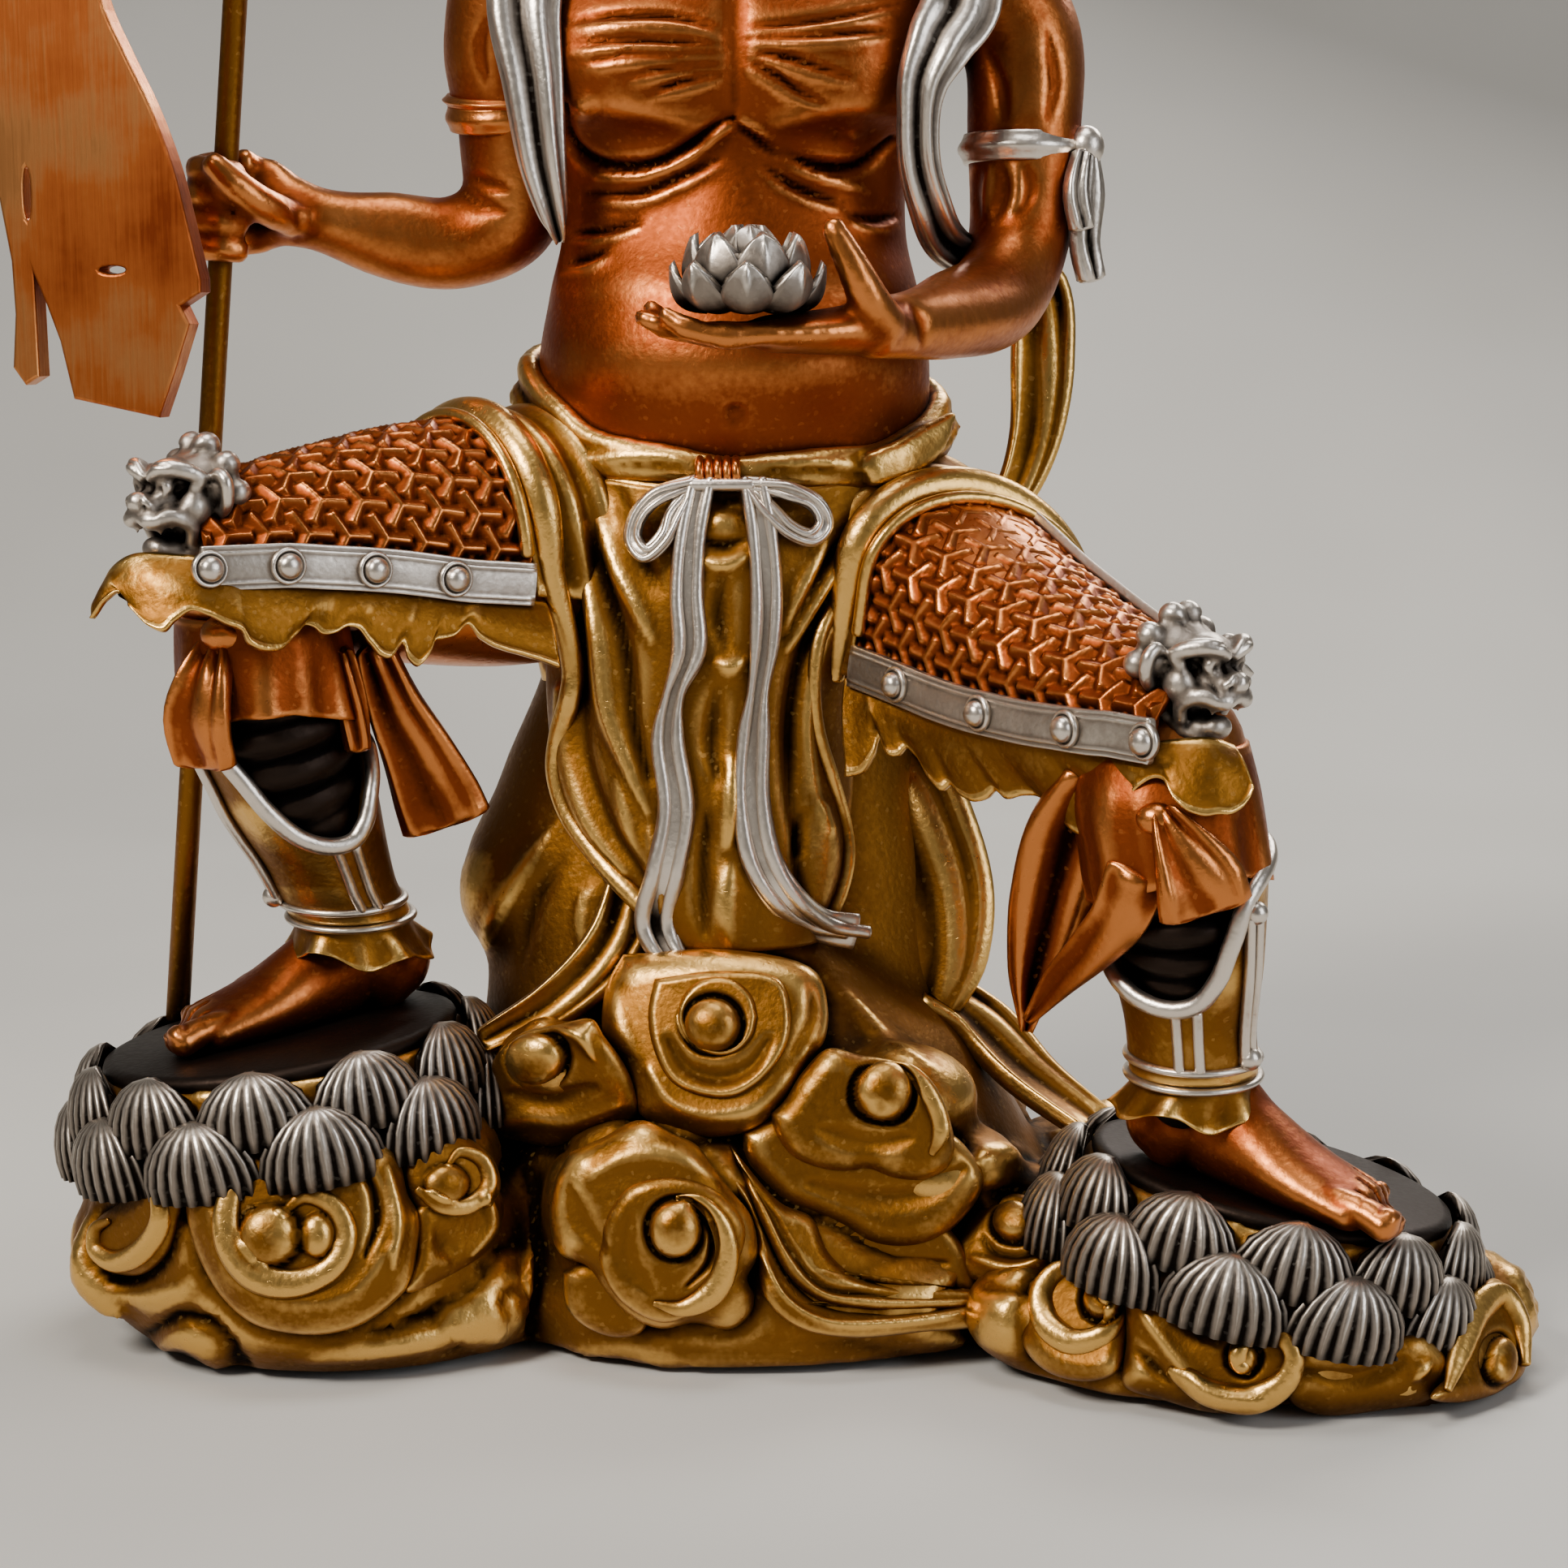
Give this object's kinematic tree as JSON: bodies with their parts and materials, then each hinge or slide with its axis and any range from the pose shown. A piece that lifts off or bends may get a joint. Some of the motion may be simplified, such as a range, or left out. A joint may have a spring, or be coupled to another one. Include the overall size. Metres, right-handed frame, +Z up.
{
  "type": "statue",
  "caption": "Seated copper deity holding a staff with a metal pennant and a lotus flower, bare feet on two lotus pedestals above a bank of clouds.",
  "frame": {"origin": "middle of the whole object's box, at the height of the base's underside", "axes": "+Z up, the statue's front towards -Y, the deity's own left towards +X"},
  "size_m": [0.3674, 0.1866, 0.4659],
  "materials": {
    "gold_patina": "antique gold over dark casting, rubbed bright on the high places",
    "copper_patina": "dark antiqued copper, polished on the high places",
    "brushed_copper": "brushed copper sheet with worn edges",
    "silver_wash": "silver wash over copper, dark in the recesses"
  },
  "bodies": {
    "root": {"cloud_base": "gold_patina", "deity_figure": "copper_patina", "staff": "gold_patina", "banner": "brushed_copper", "lotus_flower": "silver_wash"}
  },
  "joints": []
}
